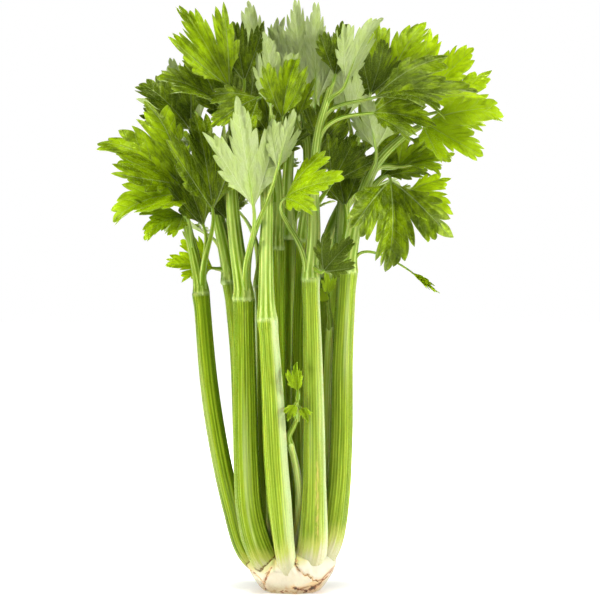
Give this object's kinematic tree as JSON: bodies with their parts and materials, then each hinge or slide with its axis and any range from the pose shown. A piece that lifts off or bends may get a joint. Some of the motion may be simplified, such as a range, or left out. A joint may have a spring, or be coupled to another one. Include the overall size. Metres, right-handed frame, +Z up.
{
  "type": "head of celery",
  "caption": "Head of celery standing on its cut butt, with ribbed crescent stalks that spread into compound leaves of lobed, toothed leaflets.",
  "frame": {"origin": "centre of the flat cut face under the butt, which the head stands on", "axes": "+Z up along the stalks, -Y towards the front, +X to the right seen from the front"},
  "size_m": [0.3434, 0.2422, 0.4999],
  "materials": {
    "butt_flesh": "moist white flesh, browned where torn",
    "stalk_skin": "smooth, waxy and ribbed",
    "leaf_blade": "soft satin green, paler beneath",
    "young_leaf": "soft satin yellow-green"
  },
  "bodies": {
    "root": {"butt": "butt_flesh", "stalk_01": "stalk_skin", "stalk_02": "stalk_skin", "stalk_03": "stalk_skin", "stalk_04": "stalk_skin", "stalk_05": "stalk_skin", "stalk_06": "stalk_skin", "stalk_07": "stalk_skin", "stalk_08": "stalk_skin", "stalk_09": "stalk_skin", "stalk_10": "stalk_skin", "stalk_11": "stalk_skin", "stalk_12": "stalk_skin", "heart_stalk_1": "stalk_skin", "heart_stalk_2": "stalk_skin", "leaf_01": "leaf_blade", "leaf_02": "leaf_blade", "leaf_03": "leaf_blade", "leaf_04": "leaf_blade", "leaf_05": "leaf_blade", "leaf_06": "leaf_blade", "leaf_07": "leaf_blade", "leaf_08": "leaf_blade", "leaf_09": "leaf_blade", "leaf_10": "leaf_blade", "leaf_11": "leaf_blade", "leaf_12": "leaf_blade", "heart_leaf_1": "young_leaf", "heart_leaf_2": "young_leaf"}
  },
  "joints": []
}
